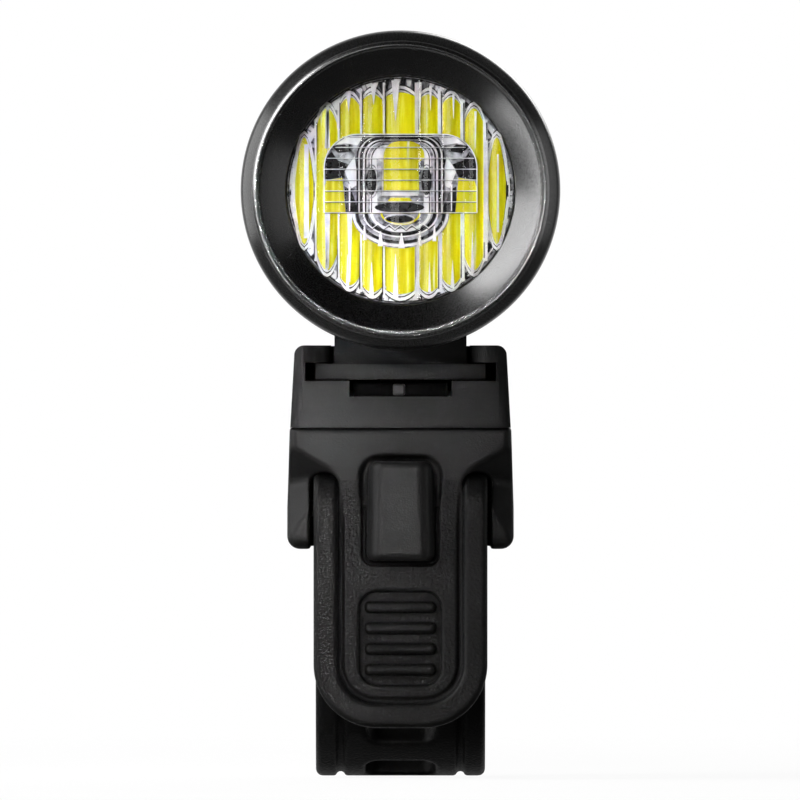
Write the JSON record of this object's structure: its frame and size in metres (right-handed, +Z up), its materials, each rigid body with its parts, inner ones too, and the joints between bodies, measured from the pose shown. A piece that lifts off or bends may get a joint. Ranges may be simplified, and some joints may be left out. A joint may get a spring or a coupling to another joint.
{
  "type": "bike headlight",
  "caption": "Tubular bicycle headlight with a round fluted lens, on a slide-in rail and saddle that a rubber strap with a pull tab holds on a handlebar.",
  "frame": {"origin": "centre of the handlebar bore inside the strap, on the symmetry plane", "axes": "+X along the handlebar, -Y the way the beam points, +Z up"},
  "size_m": [0.032, 0.102, 0.075],
  "materials": {
    "anodised_black": "satin black anodised",
    "clear_lens": "polished clear moulding",
    "seal_rubber": "smooth",
    "inner_plastic": "matte",
    "led_yellow": "phosphor coat",
    "board_white": "white solder mask",
    "lead_red": "smooth",
    "bare_aluminium": "turned",
    "body_plastic": "fine matte texture",
    "screw_steel": "plain",
    "cell_sleeve": "shrink sleeve",
    "board_green": "solder mask",
    "soft_rubber": "smooth matte",
    "strap_rubber": "grained matte"
  },
  "bodies": {
    "mount": {"rail_base": "body_plastic", "saddle": "body_plastic", "base_screws": "screw_steel", "bar_pad": "soft_rubber", "strap": "strap_rubber", "strap_pin": "screw_steel", "latch_pin": "screw_steel", "latch_spring": "screw_steel"},
    "light": {"bezel": "anodised_black", "lens": "clear_lens", "lens_gasket": "seal_rubber", "optic_holder": "inner_plastic", "led_emitter": "led_yellow", "led_board": "board_white", "led_leads": "lead_red", "heat_sink": "bare_aluminium", "housing": "anodised_black", "housing_seal": "seal_rubber", "rear_cap": "body_plastic", "rear_cap_seal": "seal_rubber", "cap_screws": "screw_steel", "battery_cell": "cell_sleeve", "battery_cradle": "inner_plastic", "battery_contacts": "screw_steel", "main_board": "board_green", "tact_switch": "screw_steel", "usb_socket": "screw_steel", "indicator_window": "clear_lens", "button_ring": "body_plastic", "foot": "body_plastic", "foot_screws": "screw_steel"},
    "latch": {"latch_lever": "body_plastic"},
    "button": {"power_button": "soft_rubber"},
    "cover": {"port_cover": "soft_rubber"},
    "tab": {"strap_tab": "strap_rubber"}
  },
  "joints": [
    {"name": "light_slide", "type": "slide", "parent": "mount", "child": "light", "axis": [0, -1, 0], "range_m": [0, 0.04]},
    {"name": "latch_press", "type": "hinge", "parent": "mount", "child": "latch", "pos_m": [0, 0.004, 0.0227], "axis": [1, 0, 0], "range_deg": [0, 3.5], "stiffness_Nm_per_rad": 0.2, "deforming": ["latch_spring"]},
    {"name": "button_press", "type": "slide", "parent": "light", "child": "button", "axis": [0, 0, -1], "range_m": [0, 0.0005], "stiffness_N_per_m": 800},
    {"name": "cover_open", "type": "hinge", "parent": "light", "child": "cover", "pos_m": [0, 0.061, 0.0452], "axis": [-1, 0, 0], "range_deg": [0, 95]},
    {"name": "tab_lift", "type": "hinge", "parent": "mount", "child": "tab", "pos_m": [0, -0.0184, 0.005], "axis": [-1, 0, 0], "range_deg": [0, 45], "stiffness_Nm_per_rad": 0.01}
  ]
}
